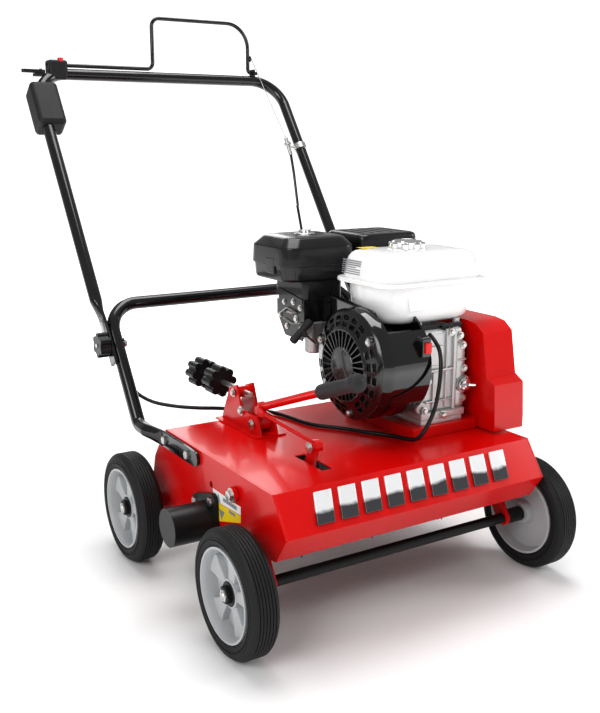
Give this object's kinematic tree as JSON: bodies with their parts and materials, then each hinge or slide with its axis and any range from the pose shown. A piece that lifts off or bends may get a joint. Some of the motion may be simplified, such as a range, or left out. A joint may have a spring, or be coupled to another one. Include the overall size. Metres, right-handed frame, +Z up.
{
  "type": "lawn dethatcher",
  "caption": "Walk-behind lawn dethatcher with a petrol engine over a sheet deck, bladed rotor, lift lever, folding handle and clutch bail.",
  "frame": {"origin": "on the ground below the middle of the machine's outline", "axes": "+Z up, front faces -Y, +X is the belt side, the operator stands at +Y"},
  "size_m": [0.659, 1.0017, 1.0245],
  "materials": {
    "red_paint": "gloss powder coat",
    "black_steel": "satin black paint",
    "black_tube": "gloss black powder coat",
    "black_cover": "satin black paint",
    "black_plastic": "fine textured moulding",
    "zinc_steel": "zinc plated",
    "cast_alloy": "as cast",
    "bright_alloy": "polished",
    "white_paint": "gloss white",
    "belt_rubber": "matt",
    "cable_black": "smooth",
    "bare_wire": "drawn wire",
    "grip_rubber": "soft dark grey",
    "blade_steel": "ground steel",
    "cast_iron": "machined",
    "red_plastic": "gloss red",
    "rope": "braided",
    "tyre": "ribbed tread",
    "grey_plastic": "light grey moulding"
  },
  "bodies": {
    "chassis": {"deck": "red_paint", "side_plates": "red_paint", "engine_platform": "red_paint", "rear_axle": "black_steel", "bearing_housings": "black_plastic", "lower_handle": "black_tube", "frame_bolts": "zinc_steel", "lift_bracket": "red_paint", "belt_guard": "red_paint", "drive_belt": "belt_rubber", "crankcase": "cast_alloy", "blower_housing": "black_cover", "recoil_cover": "black_plastic", "fuel_tank": "white_paint", "air_cleaner": "black_plastic", "muffler": "black_cover", "carburettor": "cast_alloy", "clutch_cable_lower": "cable_black", "control_lead_lower": "cable_black"},
    "front_axle": {"front_axle": "black_steel", "rocker_shaft": "red_paint"},
    "lift_lever": {"lift_lever": "red_paint", "lever_grip": "grip_rubber"},
    "link_rod": {"link_rod": "red_paint"},
    "depth_screw": {"depth_screw": "zinc_steel", "depth_knob": "black_plastic"},
    "lock_knob": {"lock_knob": "black_plastic"},
    "rotor": {"rotor_shaft": "black_steel", "rotor_blades": "blade_steel", "rotor_spacers": "black_steel", "rotor_pulley": "cast_iron"},
    "crankshaft": {"crankshaft": "blade_steel", "crank_pulley": "cast_iron"},
    "idler_arm": {"idler_arm": "zinc_steel"},
    "idler_pulley": {"idler_pulley": "black_plastic"},
    "fuel_cap": {"fuel_cap": "bright_alloy"},
    "oil_cap": {"oil_cap": "bright_alloy"},
    "switch_rocker": {"switch_rocker": "red_plastic"},
    "choke_lever": {"choke_lever": "black_plastic"},
    "starter_grip": {"starter_grip": "black_plastic", "starter_rope": "rope"},
    "upper_handle": {"upper_handle": "black_tube", "control_box": "black_plastic", "clutch_wire": "bare_wire", "cable_adjuster": "zinc_steel", "clutch_cable_upper": "cable_black", "control_lead_upper": "cable_black"},
    "left_fold_knob": {"left_fold_knob": "black_plastic"},
    "right_fold_knob": {"right_fold_knob": "black_plastic"},
    "bail": {"bail": "black_tube"},
    "safety_button": {"safety_button": "red_plastic"},
    "throttle_paddle": {"throttle_paddle": "black_plastic"},
    "front_left_wheel": {"front_left_tyre": "tyre", "front_left_rim": "grey_plastic"},
    "front_right_wheel": {"front_right_tyre": "tyre", "front_right_rim": "grey_plastic"},
    "rear_left_wheel": {"rear_left_tyre": "tyre", "rear_left_rim": "grey_plastic"},
    "rear_right_wheel": {"rear_right_tyre": "tyre", "rear_right_rim": "grey_plastic"}
  },
  "joints": [
    {"name": "lever_swing", "type": "hinge", "parent": "chassis", "child": "lift_lever", "pos_m": [-0.12, -0.161, 0.273], "axis": [1, 0, 0], "range_deg": [-55, 0]},
    {"name": "axle_swing", "type": "hinge", "parent": "chassis", "child": "front_axle", "pos_m": [0, -0.32, 0.22], "axis": [1, 0, 0], "range_deg": [-22, 0]},
    {"name": "link_swing", "type": "hinge", "parent": "lift_lever", "child": "link_rod", "pos_m": [-0.12, -0.169, 0.298], "axis": [1, 0, 0], "range_deg": [0, 53]},
    {"name": "depth_screw_turn", "type": "hinge", "parent": "chassis", "child": "depth_screw", "pos_m": [-0.12, 0.001, 0.315], "axis": [0, 1, 0], "continuous": true},
    {"name": "lock_knob_turn", "type": "hinge", "parent": "depth_screw", "child": "lock_knob", "pos_m": [-0.12, 0.073, 0.315], "axis": [0, 1, 0], "continuous": true},
    {"name": "handle_fold", "type": "hinge", "parent": "chassis", "child": "upper_handle", "pos_m": [0, 0.119, 0.382], "axis": [1, 0, 0], "range_deg": [0, 95], "deforming": ["clutch_cable_lower", "control_lead_lower"]},
    {"name": "left_knob_turn", "type": "hinge", "parent": "chassis", "child": "left_fold_knob", "pos_m": [0.3, 0.119, 0.382], "axis": [1, 0, 0], "continuous": true},
    {"name": "right_knob_turn", "type": "hinge", "parent": "chassis", "child": "right_fold_knob", "pos_m": [-0.3, 0.119, 0.382], "axis": [-1, 0, 0], "continuous": true},
    {"name": "bail_swing", "type": "hinge", "parent": "upper_handle", "child": "bail", "pos_m": [0, 0.48574, 0.91225], "axis": [-1, 0, 0], "range_deg": [0, 80], "stiffness_Nm_per_rad": 1.5, "springref_deg": -14.32, "deforming": ["clutch_wire"]},
    {"name": "button_press", "type": "slide", "parent": "upper_handle", "child": "safety_button", "axis": [0, 0, -1], "range_m": [0, 0.004], "stiffness_N_per_m": 300, "springref_m": -0.0015},
    {"name": "throttle_turn", "type": "hinge", "parent": "upper_handle", "child": "throttle_paddle", "pos_m": [-0.278, 0.48574, 0.89425], "axis": [0, 0, 1], "range_deg": [-30, 30]},
    {"name": "rotor_spin", "type": "hinge", "parent": "chassis", "child": "rotor", "pos_m": [0, -0.228, 0.147], "axis": [1, 0, 0], "continuous": true},
    {"name": "crank_spin", "type": "hinge", "parent": "chassis", "child": "crankshaft", "pos_m": [0.2, -0.259, 0.383], "axis": [1, 0, 0], "continuous": true},
    {"name": "idler_swing", "type": "hinge", "parent": "chassis", "child": "idler_arm", "pos_m": [0.27, -0.177, 0.345], "axis": [-1, 0, 0], "range_deg": [0, 4], "deforming": ["drive_belt"]},
    {"name": "idler_spin", "type": "hinge", "parent": "idler_arm", "child": "idler_pulley", "pos_m": [0.27, -0.19053, 0.28156], "axis": [1, 0, 0], "continuous": true},
    {"name": "fuel_cap_turn", "type": "hinge", "parent": "chassis", "child": "fuel_cap", "pos_m": [0.125, -0.249, 0.58], "axis": [0, 0, 1], "range_deg": [0, 90]},
    {"name": "oil_cap_turn", "type": "hinge", "parent": "chassis", "child": "oil_cap", "pos_m": [0.196, -0.339, 0.338], "axis": [0, -1, 0], "continuous": true},
    {"name": "stop_switch", "type": "hinge", "parent": "chassis", "child": "switch_rocker", "pos_m": [0.085, -0.3598, 0.421], "axis": [1, 0, 0], "range_deg": [0, 8]},
    {"name": "choke_swing", "type": "hinge", "parent": "chassis", "child": "choke_lever", "pos_m": [-0.003, -0.099, 0.418], "axis": [1, 0, 0], "range_deg": [0, 60]},
    {"name": "starter_pull", "type": "slide", "parent": "chassis", "child": "starter_grip", "axis": [-0.799, 0.3995, 0.4494], "range_m": [0, 0.5], "stiffness_N_per_m": 25, "springref_m": -0.05, "deforming": ["starter_rope"]},
    {"name": "front_left_spin", "type": "hinge", "parent": "front_axle", "child": "front_left_wheel", "pos_m": [0.301, -0.399, 0.1], "axis": [1, 0, 0], "continuous": true},
    {"name": "front_right_spin", "type": "hinge", "parent": "front_axle", "child": "front_right_wheel", "pos_m": [-0.301, -0.399, 0.1], "axis": [1, 0, 0], "continuous": true},
    {"name": "rear_left_spin", "type": "hinge", "parent": "chassis", "child": "rear_left_wheel", "pos_m": [0.301, 0.002, 0.1], "axis": [1, 0, 0], "continuous": true},
    {"name": "rear_right_spin", "type": "hinge", "parent": "chassis", "child": "rear_right_wheel", "pos_m": [-0.301, 0.002, 0.1], "axis": [1, 0, 0], "continuous": true}
  ],
  "couplings": [
    {"joint": "axle_swing", "follows": "lever_swing", "ratio": 0.4},
    {"joint": "link_swing", "follows": "lever_swing", "ratio": -0.9494},
    {"joint": "rotor_spin", "follows": "crank_spin", "ratio": 0.80952},
    {"joint": "idler_swing", "follows": "bail_swing", "ratio": 0.05}
  ]
}
